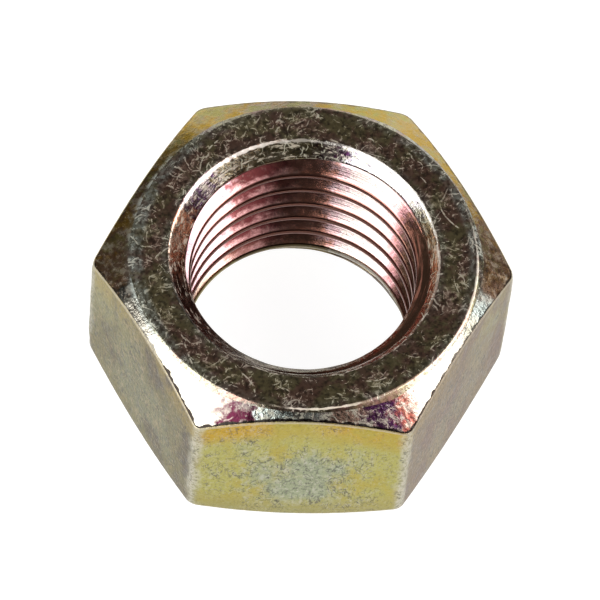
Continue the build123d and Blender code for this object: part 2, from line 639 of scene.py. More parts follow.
def make_nut(shape, thread, finish):
    """The whole nut as one closed surface: each row of the section carried round the axis, and the
    winding wall of the bore joined to the first and last of them."""
    section = Section(shape, thread)
    points = section.build()
    rows, columns = len(points), shape.columns
    bore = Bore(section, points[0], points[-1])
    radius = np.concatenate([points[:, 0].ravel(), bore.radii])
    height = np.concatenate([points[:, 1].ravel(), bore.heights])
    angle = np.concatenate([np.tile(section.angles, rows), bore.angles])
    places = np.stack([radius * np.cos(angle), radius * np.sin(angle), height], axis=-1)

    quads = grid_quads(rows, columns)
    index = np.arange(columns)
    triangles = bore.triangles(rows * columns, index, index + (rows - 1) * columns)
    mesh = surface_mesh("plated_nut", places, triangles, quads)

    _, at_crest = groove_edges(thread)
    along = section.path_lengths(points)
    nothing = np.zeros_like(along)
    down_bore = (shape.height - bore.heights) / math.cos(section.lean)
    up_bore = bore.heights / math.cos(section.lean)
    turned_edges = ("mouth", "ring edge", "upper edge", "lower edge", "bearing edge", "lower mouth")
    run_out, out_of_reach = 0.0001, 1.0
    tapped = np.clip(0.5 - bore.cone_lead / run_out, 0, 1)
    crest = np.clip((bore.away - at_crest) / thread.crest_roll + 0.5, 0, 1) * (tapped > 0.5)
    in_mouth = section.band_of_rows(["mouth"])[:, None]
    round_bore = section.angles * thread.crest_radius
    from_edge = section.from_bands(along, turned_edges)
    keep_on_points(mesh, "from_edge", from_edge, np.minimum(down_bore, up_bore))
    from_flats = section.from_bands(along, ("upper edge", "lower edge"))
    keep_on_points(mesh, "from_flats", from_flats, down_bore + out_of_reach)
    keep_on_points(mesh, "from_corner", np.abs(radius * np.sin(angle_from_corner(angle))))
    keep_on_points(mesh, "tapped", nothing, tapped)
    keep_on_points(mesh, "crest", nothing, crest)
    keep_on_points(mesh, "up_flank", nothing, bore.away / (thread.pitch / 2))
    round_nut = np.where(in_mouth, round_bore, section.round_nut())
    keep_on_points(mesh, "round_nut", round_nut, bore.angles * thread.crest_radius)
    keep_on_points(mesh, "along_section", along, -down_bore)

    for make_material in (bore_material, end_material, chamfer_material, flat_material):
        mesh.materials.append(make_material(finish))
    ends = ["ring side", "ring", "ring edge", "bearing edge", "bearing", "lower mouth"]
    end_rows = section.band_of_rows(ends)
    chamfer_rows = section.band_of_rows(["chamfer", "lower chamfer"])
    flat_rows = section.band_of_rows(["upper edge", "flats", "lower edge"])
    chosen = 1 * end_rows + 2 * chamfer_rows + 3 * flat_rows
    of_triangles = np.zeros(len(triangles))
    of_quads = np.repeat(chosen[:-1], columns)
    mesh.polygons.foreach_set("material_index", np.concatenate([of_triangles, of_quads]).astype(np.int32))

    piece = bpy.data.objects.new("plated_nut", mesh)
    bpy.context.scene.collection.objects.link(piece)
    return piece


# Shader building


class Value:
    """A number, colour or vector that a node puts out. Its sums and products place Math nodes."""

    def __init__(self, socket):
        self.socket = socket

    def __add__(self, other):
        return calculate("ADD", self, other)

    def __sub__(self, other):
        return calculate("SUBTRACT", self, other)

    def __rsub__(self, other):
        return calculate("SUBTRACT", other, self)

    def __mul__(self, other):
        return calculate("MULTIPLY", self, other)

    def __truediv__(self, other):
        return calculate("DIVIDE", self, other)

    def __abs__(self):
        return calculate("ABSOLUTE", self)


def feed(node, inputs):
    """Links values to a node's inputs, or sets an input to a plain number or colour."""
    for name, value in inputs.items():
        if isinstance(value, Value):
            node.id_data.links.new(value.socket, node.inputs[name])
        else:
            node.inputs[name].default_value = value


def place(kind, inputs, tree=None, **settings):
    """Adds a node, to the tree of the values that feed it unless another is given."""
    if tree is None:
        tree = next(value.socket.id_data for value in inputs.values() if isinstance(value, Value))
    node = tree.nodes.new(kind)
    for name, value in settings.items():
        setattr(node, name, value)
    feed(node, inputs)
    return node


def outputs_of(node):
    """All that a node puts out, by name."""
    return {socket.name: Value(socket) for socket in node.outputs}


def result(kind, inputs, output=0, **settings):
    """Adds a node and gives back one of its outputs."""
    return Value(place(kind, inputs, **settings).outputs[output])


def calculate(operation, *values):
    """A Math node's result."""
    return result("ShaderNodeMath", dict(enumerate(values)), operation=operation)


def highest(*masks):
    """The highest of several masks."""
    top = masks[0]
    for mask in masks[1:]:
        top = calculate("MAXIMUM", top, mask)
    return top


def vector_math(operation, first, second=None):
    """A Vector Math node's result: a number for a length or a dot product, and else a vector."""
    inputs = {0: first}
    if second is not None:
        inputs["Scale" if operation == "SCALE" else 1] = second
    output = "Value" if operation in ("LENGTH", "DOT_PRODUCT") else "Vector"
    return result("ShaderNodeVectorMath", inputs, output, operation=operation)


def parts(vector):
    """A vector's X, Y and Z."""
    return list(outputs_of(place("ShaderNodeSeparateXYZ", {0: vector})).values())


def remap(value, low, high, to_low=0.0, to_high=1.0, smooth=True):
    """The value spread from one range to another, and held at its ends."""
    inputs = {"Value": value, "From Min": low, "From Max": high, "To Min": to_low, "To Max": to_high}
    return result("ShaderNodeMapRange", inputs, interpolation_type="SMOOTHSTEP" if smooth else "LINEAR")


def blend(share, first, second):
    """Two colours mixed by a share."""
    first_socket, second_socket, mixed = 6, 7, 2
    inputs = {0: share}
    for index, colour in ((first_socket, first), (second_socket, second)):
        inputs[index] = colour if isinstance(colour, Value) else (*colour, 1.0)
    return result("ShaderNodeMix", inputs, mixed, data_type="RGBA")


def noise(coordinates, scale, detail=2.0, roughness=0.5, distortion=0.0):
    """A noise between about 0.2 and 0.8, centred on a half."""
    inputs = {"Vector": coordinates, "Scale": scale, "Detail": detail, "Roughness": roughness}
    return result("ShaderNodeTexNoise", {**inputs, "Distortion": distortion}, "Fac")


def stretch(coordinates, scale):
    """The coordinates, scaled along each axis."""
    return result("ShaderNodeMapping", {"Vector": coordinates, "Scale": scale})


def colour_ramp(share, stops):
    """A colour for each share, from a list of (share, colour), or of (share, share, colour) where a
    colour is held from one share to another."""
    stops = [(position, colour) for *positions, colour in stops for position in positions]
    node = place("ShaderNodeValToRGB", {"Fac": share})
    elements = node.color_ramp.elements
    while len(elements) < len(stops):
        elements.new(0.5)
    for element, (position, colour) in zip(elements, stops):
        element.position = position
        element.color = (*colour, 1.0)
    return Value(node.outputs[0])


def levels(share, stops):
    """A number for each share, from a list of stops like those of a colour ramp."""
    return colour_ramp(share, [(*positions, (value,) * 3) for *positions, value in stops])


def attribute(tree, name):
    """A number that the mesh holds for each of its points."""
    return result("ShaderNodeAttribute", {}, "Fac", tree=tree, attribute_name=name)


def combine(x, y):
    """A vector from its X and Y."""
    return result("ShaderNodeCombineXYZ", {"X": x, "Y": y})


def plan_of_skin(tree):
    """Place on the unrolled surface: how far round the nut, and how far along its section."""
    return combine(attribute(tree, "round_nut"), attribute(tree, "along_section"))


# Node groups: each is a function of its inputs that gives back what it puts out


def curled_scratches(coordinates, scale, width, share):
    """Short curled scratches: the contour lines of a twisted noise, kept only where a second, coarser
    noise is high."""
    away = abs(noise(coordinates, scale, detail=1.5, distortion=1.2) - 0.5)
    patches = noise(coordinates, scale * 0.8)
    edge = 1.0 - share
    return {"Mask": remap(away, 0.0, width, 1.0, 0.0) * remap(patches, edge, edge + 0.1)}


def struck_scratches(plan, scale, length, width, heading, spread, wander):
    """Separate short scratches: the plan is divided into random cells, and each cell holds one stroke
    with its own heading, bow and strength. The plan is first pushed about a little by a noise."""
    drift = result("ShaderNodeTexNoise", {"Vector": plan, "Scale": scale, "Detail": 1.0}, "Color")
    push = vector_math("SUBTRACT", drift, (0.5, 0.5, 0.5))
    plan = vector_math("ADD", plan, vector_math("SCALE", push, wander / scale))
    inputs = {"Vector": plan, "Scale": scale}
    cells = outputs_of(place("ShaderNodeTexVoronoi", inputs, voronoi_dimensions="2D"))
    local = vector_math("SCALE", vector_math("SUBTRACT", plan, cells["Position"]), scale)
    swing, lean, strength = outputs_of(place("ShaderNodeSeparateColor", {"Color": cells["Color"]})).values()
    turn = (swing - 0.5) * 2.0 * spread + heading
    turned = result("ShaderNodeVectorRotate", {"Vector": local, "Angle": turn}, rotation_type="Z_AXIS")
    along, across, _ = parts(turned)
    bow = (lean - 0.5) * 2.2
    line = remap(abs(along * along * bow + across), 0.0, width, 1.0, 0.0)
    ends = remap(abs(along), length * 0.5, length, 1.0, 0.0)
    return {"Mask": line * ends * remap(strength, 0.1, 0.9, 0.1, 1.0, smooth=False)}


def long_scratch(plan, start, end, bow, width):
    """One long scratch from one place of the plan to another, bowed by a parabola and fading out at its
    ends."""
    run = vector_math("SUBTRACT", end, start)
    gone = vector_math("SUBTRACT", plan, start)
    length = vector_math("LENGTH", run)
    share = vector_math("DOT_PRODUCT", gone, run) / (length * length)
    side = vector_math("CROSS_PRODUCT", run, (0.0, 0.0, 1.0))
    offset = vector_math("DOT_PRODUCT", gone, side) / length
    rise = share * (1.0 - share)
    line = remap(abs(offset - rise * 4.0 * bow), 0.0, width, 1.0, 0.0)
    grit = remap(noise(plan, 2600.0), 0.36, 0.55)
    return {"Mask": line * (remap(rise, 0.0, 0.08) * grit)}


def turn_round_axis(coordinates, fray, scale):
    """The angle round the Z axis as a share of a turn, starting and ending on the -X side, and pushed
    to and fro by a noise so that films don't end on a straight line."""
    x, y, _ = parts(coordinates)
    turn = calculate("ARCTAN2", y, x) / (2 * math.pi) + 0.5
    wobble = noise(coordinates, scale, detail=3.0) - 0.5
    return {"Turn": wobble * fray + turn, "Radius": vector_math("LENGTH", combine(x, y))}


def ragged_edge_band(coordinates, distance, width, scale, raggedness):
    """A band along an edge, used for rubbed bare zinc, for a dark torn line and for painted highlights: one
    at the edge and nought beyond a width, with a ragged border that a noise shifts to and fro."""
    near = 1.0 - distance / width
    rough = noise(coordinates, scale, detail=3.0) - 0.5
    return {"Mask": remap(rough * raggedness + near, -0.1, 0.6)}


def speckle(coordinates, scale, share):
    """Fine grain of the plate: a height for bumps, and masks of its light and its dark specks."""
    grain = noise(coordinates, scale, roughness=0.6)
    reach = share * 0.25
    light_edge = 0.72 - reach
    dark_edge = reach + 0.28
    light = remap(grain, light_edge, light_edge + 0.1)
    dark = remap(grain, dark_edge - 0.1, dark_edge, 1.0, 0.0)
    return {"Height": grain, "Light": light, "Dark": dark}


NODE_GROUPS = (  # name, function, and the names of its inputs with their defaults
    ("Curled scratches", curled_scratches, {
        "Coordinates": None, "Scale": 900, "Width": 0.03, "Share": 0.5,
    }),
    ("Struck scratches", struck_scratches, {
        "Plan": None, "Scale": 900, "Length": 0.4, "Width": 0.06,
        "Heading": 0, "Spread": 3.14, "Wander": 0.3,
    }),
    ("Long scratch", long_scratch, {"Plan": None, "From": None, "To": None, "Bow": 0, "Width": 0.00005}),
    ("Turn round axis", turn_round_axis, {"Coordinates": None, "Fray": 0.02, "Scale": 900}),
    ("Ragged edge band", ragged_edge_band, {
        "Coordinates": None, "Distance": 0.001, "Width": 0.0003, "Scale": 2500, "Raggedness": 3,
    }),
    ("Speckle", speckle, {"Coordinates": None, "Scale": 5000, "Share": 0.4}),
)


def new_group(name, work_out, inputs):
    """Makes a node group from a function of its inputs. An input whose default is None is a vector."""
    tree = bpy.data.node_groups.new(name, "ShaderNodeTree")
    for label, default in inputs.items():
        kind = "NodeSocketVector" if default is None else "NodeSocketFloat"
        socket = tree.interface.new_socket(name=label, in_out="INPUT", socket_type=kind)
        if default is not None:
            socket.default_value = default
    entry = outputs_of(tree.nodes.new("NodeGroupInput"))
    leave = tree.nodes.new("NodeGroupOutput")
    for label, value in work_out(*(entry[label] for label in inputs)).items():
        tree.interface.new_socket(name=label, in_out="OUTPUT", socket_type="NodeSocketFloat")
        tree.links.new(value.socket, leave.inputs[label])


def use_group(name, **inputs):
    """Places a node group and gives back its outputs."""
    return outputs_of(place("ShaderNodeGroup", inputs, node_tree=bpy.data.node_groups[name]))


def mask_of(name, **inputs):
    """Places a node group that puts out a single mask."""
    return use_group(name, **inputs)["Mask"]


# Materials


def new_material(name):
    """A material with one Principled shader, and the coordinates that its patterns use."""
    material = bpy.data.materials.new(name)
    material.use_nodes = True
    tree = material.node_tree
    tree.nodes.clear()
    shader = tree.nodes.new("ShaderNodeBsdfPrincipled")
    output = tree.nodes.new("ShaderNodeOutputMaterial")
    tree.links.new(shader.outputs["BSDF"], output.inputs["Surface"])
    return material, tree, shader, outputs_of(tree.nodes.new("ShaderNodeTexCoord"))["Object"]


def finish_shader(shader, colour, roughness, metallic, height, depth):
    """Links a material's colour, roughness and metal share, and its bumps of the given depth."""
    bumps = result("ShaderNodeBump", {"Height": height, "Distance": depth, "Strength": 1.0})
    feed(shader, {"Base Color": colour, "Roughness": roughness, "Metallic": metallic, "Normal": bumps})


def speckled(film, coordinates, bare, soot, scale, share, light, dark):
    """The film with light specks of bare zinc and dark specks of soot, and the grain's height."""
    specks = use_group("Speckle", Coordinates=coordinates, Scale=scale, Share=share)
    film = blend(specks["Light"] * light, film, bare)
    return blend(specks["Dark"] * dark, film, soot), specks["Height"]


def strokes(plan, scale, length, width, strength=1.0, heading=0.0, spread=math.pi, wander=0.3):
    """A mask of struck scratches."""
    way = {"Heading": heading, "Spread": spread, "Wander": wander}
    return mask_of("Struck scratches", Plan=plan, Scale=scale, Length=length, Width=width, **way) * strength


def flat_material(finish):
    """The six flats: smooth film that differs from flat to flat, with grainy patches of a thicker one,
    short scratches, and bare upright corners."""
    material, tree, shader, coordinates = new_material("plated_flats")
    turn = use_group("Turn round axis", Coordinates=coordinates, Fray=0.004)["Turn"]
    from_corner = attribute(tree, "from_corner")
    from_flats = attribute(tree, "from_flats")
    plan = plan_of_skin(tree)
    tall = stretch(coordinates, (1.0, 1.0, 0.55))
    bare, soot = finish.bare, finish.soot
    beige, mustard, rose = finish.beige, finish.mustard, finish.rose
    film = colour_ramp(turn, [
        (0.0, 0.162, beige), (0.171, 0.329, mustard), (0.338, 0.495, rose), (0.505, 0.662, mustard),
        (0.671, 0.829, beige), (0.838, 1.0, mustard),
    ])
    yellow_side = levels(turn, [
        (0.0, 0.162, 0.3), (0.171, 0.329, 1.0), (0.338, 0.495, 0.2), (0.505, 0.662, 1.0),
        (0.671, 0.829, 0.3), (0.838, 1.0, 1.0),
    ])
    _, _, height_here = parts(coordinates)
    patches = noise(tall, 300.0, detail=6.0, roughness=0.66)
    wash = remap(noise(tall, 300.0, detail=5.0, roughness=0.6), 0.38, 0.52)
    foot = remap(height_here, 0.0008, 0.006, 0.75, 0.0)
    film = blend(wash * yellow_side * 0.75, film, finish.olive)
    film = blend(foot * yellow_side, film, finish.fern)
    low_down = remap(height_here, 0.0012, 0.0055) * remap(height_here, 0.0148, 0.0088)
    inward = low_down * remap(from_corner, 0.0014, 0.0064)
    lobe = (patches - 0.5) * 3.4 + inward
    thick = remap(lobe, 0.2, 1.1) * yellow_side
    film = blend(thick * 0.95, film, finish.sage)
    side_corners = levels(turn, [
        (0.0, 1.0), (0.03, 0.8), (0.08, 0.42, 0.0), (0.47, 0.53, 0.8), (0.56, 0.94, 0.0), (1.0, 1.0),
    ])
    stained = side_corners * remap(height_here, 0.006, 0.014)
    stained = stained * remap(patches, 0.36, 0.54, 0.3, 0.9)
    film = blend(stained, film, finish.fern)
    ends = remap(from_flats, 0.0012, 0.004, 1.0, 0.0)
    sides = remap(from_corner, 0.0035, 0.0085, 1.0, 0.3)
    warm = ends * sides * yellow_side
    warm = warm * remap(patches, 0.36, 0.54, 0.1, 1.0)
    warm = warm * remap(height_here, 0.005, 0.013, 0.15, 1.0)
    film = blend(warm, film, finish.orange)

    cloud = noise(tall, 1500.0, detail=5.0, roughness=0.75)
    dull_side = remap(yellow_side, 0.3, 0.9, 1.0, 0.0)
    grainy = highest(remap(lobe, -0.45, 0.8), dull_side * 0.6)
    light_grain = remap(cloud, 0.48, 0.66, 0.0, 0.6) * grainy
    bare = blend(dull_side, bare, finish.fawn)
    film = blend(light_grain, film, bare)
    veins = mask_of("Curled scratches", Coordinates=tall, Scale=1500.0, Width=0.05, Share=0.55)
    veined = remap(grainy, 0.0, 1.0, 0.12, 0.75) * veins
    film = blend(veined, film, soot)
    dark_grain = remap(cloud, 0.32, 0.47, 0.7, 0.0) * grainy
    film = blend(dark_grain, film, soot)
    crumbly = grainy * 0.34 + 0.24
    shiny = crumbly * 0.6
    film, grain = speckled(film, tall, bare, soot, scale=4000.0, share=0.62, light=shiny, dark=crumbly)
    hair = strokes(plan, scale=620.0, length=0.62, width=0.05, strength=0.6, heading=0.15, spread=0.3)
    nicks = strokes(plan, scale=1300.0, length=0.35, width=0.11, strength=0.7)
    film = blend(highest(hair * dull_side, nicks * grainy), film, bare)

    border = (noise(tall, 900.0, detail=4.0) - 0.5) * 0.0014 + from_corner
    corner = remap(border, 0.0, 0.0009, 1.0, 0.0)
    rim = mask_of(
        "Ragged edge band",
        Coordinates=coordinates,
        Distance=from_flats,
        Width=0.0002,
        Scale=1500.0,
        Raggedness=1.2,
    )
    fine = noise(coordinates, 3400.0, detail=5.0, roughness=0.75)
    crumbs = remap(fine, 0.42, 0.6, 0.0, 0.75)
    grit = remap(fine, 0.36, 0.47, 0.75, 0.0)
    film = blend(corner * 0.6, film, finish.ash)
    film = blend(corner * grit, film, soot)
    pale_edge_share = highest(corner * crumbs, rim * 0.55)
    colour = blend(pale_edge_share * 0.85, film, finish.chalk)
    roughness = remap(cloud, 0.3, 0.7, 0.34, 0.5)
    metallic = remap(pale_edge_share, 0.0, 1.0, 0.96, 0.7)
    height = cloud * 0.8 + grain
    finish_shader(shader, colour, roughness, metallic, height, depth=0.00006)
    return material


UPPER_FACE = HIGH_CORNER.z
LONG_SCRATCHES = (  # on the upper face: where each starts and ends, and how far it bows
    ((-0.0104, -0.0087, UPPER_FACE), (-0.0092, -0.0119, UPPER_FACE), 0.0001),
    ((-0.0074, 0.0115, UPPER_FACE), (-0.0092, 0.0082, UPPER_FACE), 0.0004),
    ((-0.0092, 0.0082, UPPER_FACE), (-0.0086, 0.0064, UPPER_FACE), -0.0002),
    ((0.0049, -0.0121, UPPER_FACE), (0.0071, -0.0117, UPPER_FACE), 0.0002),
    ((-0.0055, -0.0116, UPPER_FACE), (-0.0042, -0.0140, UPPER_FACE), -0.0003),
    ((0.0118, 0.0052, UPPER_FACE), (0.0135, 0.0031, UPPER_FACE), 0.0002),
)


def end_material(finish):
    """The turned end faces: smooth brown film with olive clouds, grey-green along its edges, under dull
    smudges and scratches of all sizes that lie in drifts, and rubbed zinc with a painted highlight along
    their rims."""
    material, tree, shader, coordinates = new_material("plated_ends")
    from_edge = attribute(tree, "from_edge")
    turned = use_group("Turn round axis", Coordinates=coordinates, Fray=0.05, Scale=1200.0)
    turn = turned["Turn"]
    cloud = noise(coordinates, 330.0, detail=6.0, roughness=0.7)
    drifts = noise(coordinates, 400.0, detail=6.0, roughness=0.74, distortion=0.6)
    smudge = noise(coordinates, 2300.0, detail=5.0, roughness=0.72)
    film = blend(remap(cloud, 0.44, 0.56), finish.bronze, finish.umber)
    near = remap(from_edge, 0.0004, 0.001, 1.0, 0.0)
    tarnish = levels(turn, [
        (0.0, 1.0), (0.1, 0.8), (0.16, 0.4), (0.3, 0.3), (0.42, 0.45), (0.5, 0.62, 0.9), (0.67, 0.5),
        (0.72, 0.15), (0.82, 0.2), (0.88, 0.9), (1.0, 1.0),
    ])
    near = near * tarnish
    near = near * remap(turned["Radius"], 0.0128, 0.0134, 0.5, 1.0)
    slate_share = near * remap(drifts, 0.4, 0.54, 0.15, 0.85)
    slate_share = slate_share * remap(smudge, 0.42, 0.56, 0.45, 1.0)
    film = blend(slate_share, film, finish.slate)
    film = blend(remap(smudge, 0.36, 0.54, 0.7, 0.0), film, finish.soot)

    gathered = remap(drifts, 0.45, 0.53, 0.1, 1.0)
    grit = remap(smudge, 0.38, 0.52, 0.35, 1.0)
    commas = strokes(coordinates, scale=1150.0, length=0.55, width=0.13, strength=1.0, wander=0.8)
    short = strokes(coordinates, scale=1900.0, length=0.42, width=0.14, strength=0.8, wander=0.8)
    cuts = strokes(coordinates, scale=560.0, length=0.5, width=0.055, strength=1.0, wander=0.6)
    hooks = strokes(coordinates, scale=800.0, length=0.55, width=0.085, strength=0.9, wander=0.6)
    sweeps = strokes(coordinates, scale=250.0, length=0.6, width=0.018, strength=0.9, wander=0.3)
    curls = mask_of("Curled scratches", Coordinates=coordinates, Scale=620.0, Width=0.022, Share=0.55)
    worms = mask_of("Curled scratches", Coordinates=coordinates, Scale=1150.0, Width=0.036, Share=0.55)
    specks = use_group("Speckle", Coordinates=coordinates, Scale=2300.0, Share=0.5)
    struck = highest(commas, short, cuts, hooks, sweeps, curls * 0.2, worms * 0.12, specks["Light"] * 0.5)
    grime = remap(drifts, 0.47, 0.6) * remap(smudge, 0.46, 0.6, 0.0, 0.28)
    along_edges = near * remap(smudge, 0.46, 0.6, 0.0, 0.16)
    marks = struck * gathered * grit
    smears = remap(drifts, 0.53, 0.62) * remap(smudge, 0.44, 0.62, 0.0, 0.4)
    marks = highest(marks, grime, along_edges, smears)
    for start, end, bow in LONG_SCRATCHES:
        scratch = mask_of("Long scratch", Plan=coordinates, From=start, To=end, Bow=bow, Width=0.00011)
        marks = highest(marks, scratch)

    # Along the end faces' edges: rubbed zinc, and a painted highlight in ivory that is strongest in front,
    # on the right and along the upper mouth.
    rim = mask_of(
        "Ragged edge band",
        Coordinates=coordinates,
        Distance=from_edge,
        Width=0.00012,
        Scale=1500.0,
        Raggedness=2.2,
    )
    outer = levels(turn, [
        (0.0, 0.215, 0.1), (0.245, 0.29, 0.7), (0.31, 0.43, 0.15), (0.45, 0.53, 0.4), (0.56, 0.1),
    ])
    inner = remap(turned["Radius"], 0.0133, 0.0137, 1.0, 0.0)
    rim = rim * highest(outer, inner * 0.6)
    colour = blend(rim, blend(marks, film, finish.pewter), finish.ivory)
    marks = highest(marks, rim)
    roughness = remap(marks, 0.0, 0.8, 0.16, 0.55)
    dull = highest(marks, slate_share * 0.14)
    metallic = remap(dull, 0.0, 1.0, 1.0, 0.25, smooth=False)
    height = marks * -0.5 + specks["Height"] * 0.3
    finish_shader(shader, colour, roughness, metallic, height, depth=0.00002)
    return material


def chamfer_material(finish):
    """The turned chamfers: bright film in gold, violet and slate round the nut, mottled but for its
    brightest parts, with a dark torn line beside the flats."""
    material, tree, shader, coordinates = new_material("plated_chamfers")
    turn = use_group("Turn round axis", Coordinates=coordinates, Fray=0.045, Scale=1100.0)["Turn"]
    from_flats = attribute(tree, "from_flats")
    bare, soot, ash = finish.bare, finish.soot, finish.ash
    gold, violet, sand, tan = finish.gold, finish.violet, finish.mustard, finish.tan
    pink, slate, red, dark = finish.magenta, finish.slate, finish.ember, finish.walnut
    gloom = finish.gloom
    film = colour_ramp(turn, [
        (0.0, 0.026, dark), (0.04, gloom), (0.054, 0.174, bare), (0.183, 0.204, pink), (0.21, 0.234, slate),
        (0.246, soot), (0.258, slate), (0.275, 0.296, tan), (0.307, 0.326, violet), (0.337, red),
        (0.35, 0.42, bare), (0.44, ash), (0.455, slate), (0.475, 0.55, dark), (0.6, 0.66, gold),
        (0.685, 0.715, sand), (0.735, 0.79, tan), (0.82, 0.885, gold), (0.92, 1.0, dark),
    ])
    mottled = levels(turn, [
        (0.0, 0.03, 0.6), (0.05, 0.065, 1.0), (0.095, 0.12), (0.165, 0.08), (0.18, 0.204, 0.45),
        (0.215, 0.303, 1.0), (0.315, 0.345, 0.8), (0.36, 0.1), (0.4, 0.15), (0.425, 1.0), (0.47, 0.55, 0.4),
        (0.62, 0.86, 0.3), (0.91, 1.0, 0.6),
    ])
    golden = levels(turn, [(0.0, 0.5), (0.04, 0.46, 0.0), (0.58, 0.8), (0.9, 1.0), (1.0, 0.5)])
    cloud = noise(coordinates, 1000.0, detail=6.0, roughness=0.74)
    wash = noise(coordinates, 450.0, detail=6.0, roughness=0.72)
    amber = remap(wash, 0.46, 0.56, 0.0, 0.9) * golden
    film = blend(amber, film, finish.orange)
    green = remap(wash, 0.38, 0.49, 0.8, 0.0) * golden
    film = blend(green, film, finish.olive)
    film = blend(remap(cloud, 0.47, 0.63, 0.0, 0.85) * mottled, film, bare)
    film = blend(remap(cloud, 0.34, 0.47, 0.8, 0.0) * mottled, film, soot)
    film, grain = speckled(film, coordinates, bare, soot, scale=3300.0, share=0.35, light=0.5, dark=0.0)
    cuts = strokes(coordinates, scale=1000.0, length=0.5, width=0.1, strength=0.9, wander=0.8)
    film = blend(cuts * mottled, film, finish.chalk)
    from_edge = attribute(tree, "from_edge")
    beside_ring = remap(from_edge, 0.0002, 0.0012, 1.0, 0.0)
    beside_ring = beside_ring * remap(from_flats - from_edge, 0.00005, 0.0003)
    hazy_side = levels(turn, [
        (0.0, 0.07, 0.8), (0.11, 0.4), (0.17, 0.15), (0.24, 0.41, 0.0), (0.44, 0.5, 0.4), (0.54, 0.84, 0.0),
        (0.9, 0.8),
    ])
    haze = beside_ring * hazy_side * remap(cloud, 0.38, 0.56, 0.3, 1.0)
    film = blend(haze, film, slate)
    struck_side = levels(turn, [(0.0, 0.2, 0.0), (0.212, 0.3, 0.8), (0.33, 0.4), (0.35, 0.0)])
    struck = highest(remap(cloud, 0.5, 0.6), cuts)
    struck = struck * struck_side
    film = blend(struck, film, ash)
    torn = mask_of(
        "Ragged edge band",
        Coordinates=coordinates,
        Distance=from_flats,
        Width=0.0005,
        Scale=1300.0,
        Raggedness=1.4,
    )
    torn_share = levels(turn, [(0.0, 0.1, 0.5), (0.155, 0.35, 1.0), (0.38, 0.55), (1.0, 0.4)])
    torn = remap(torn * torn_share, 0.3, 0.6)
    colour = blend(torn, film, finish.pitch)
    roughness = remap(cloud, 0.3, 0.7, 0.16, 0.32)
    metallic = remap(highest(haze, struck), 0.0, 1.0, 1.0, 0.5)
    height = (cloud * 0.8 + grain) * mottled
    finish_shader(shader, colour, roughness, metallic, height, depth=0.00004)
    return material


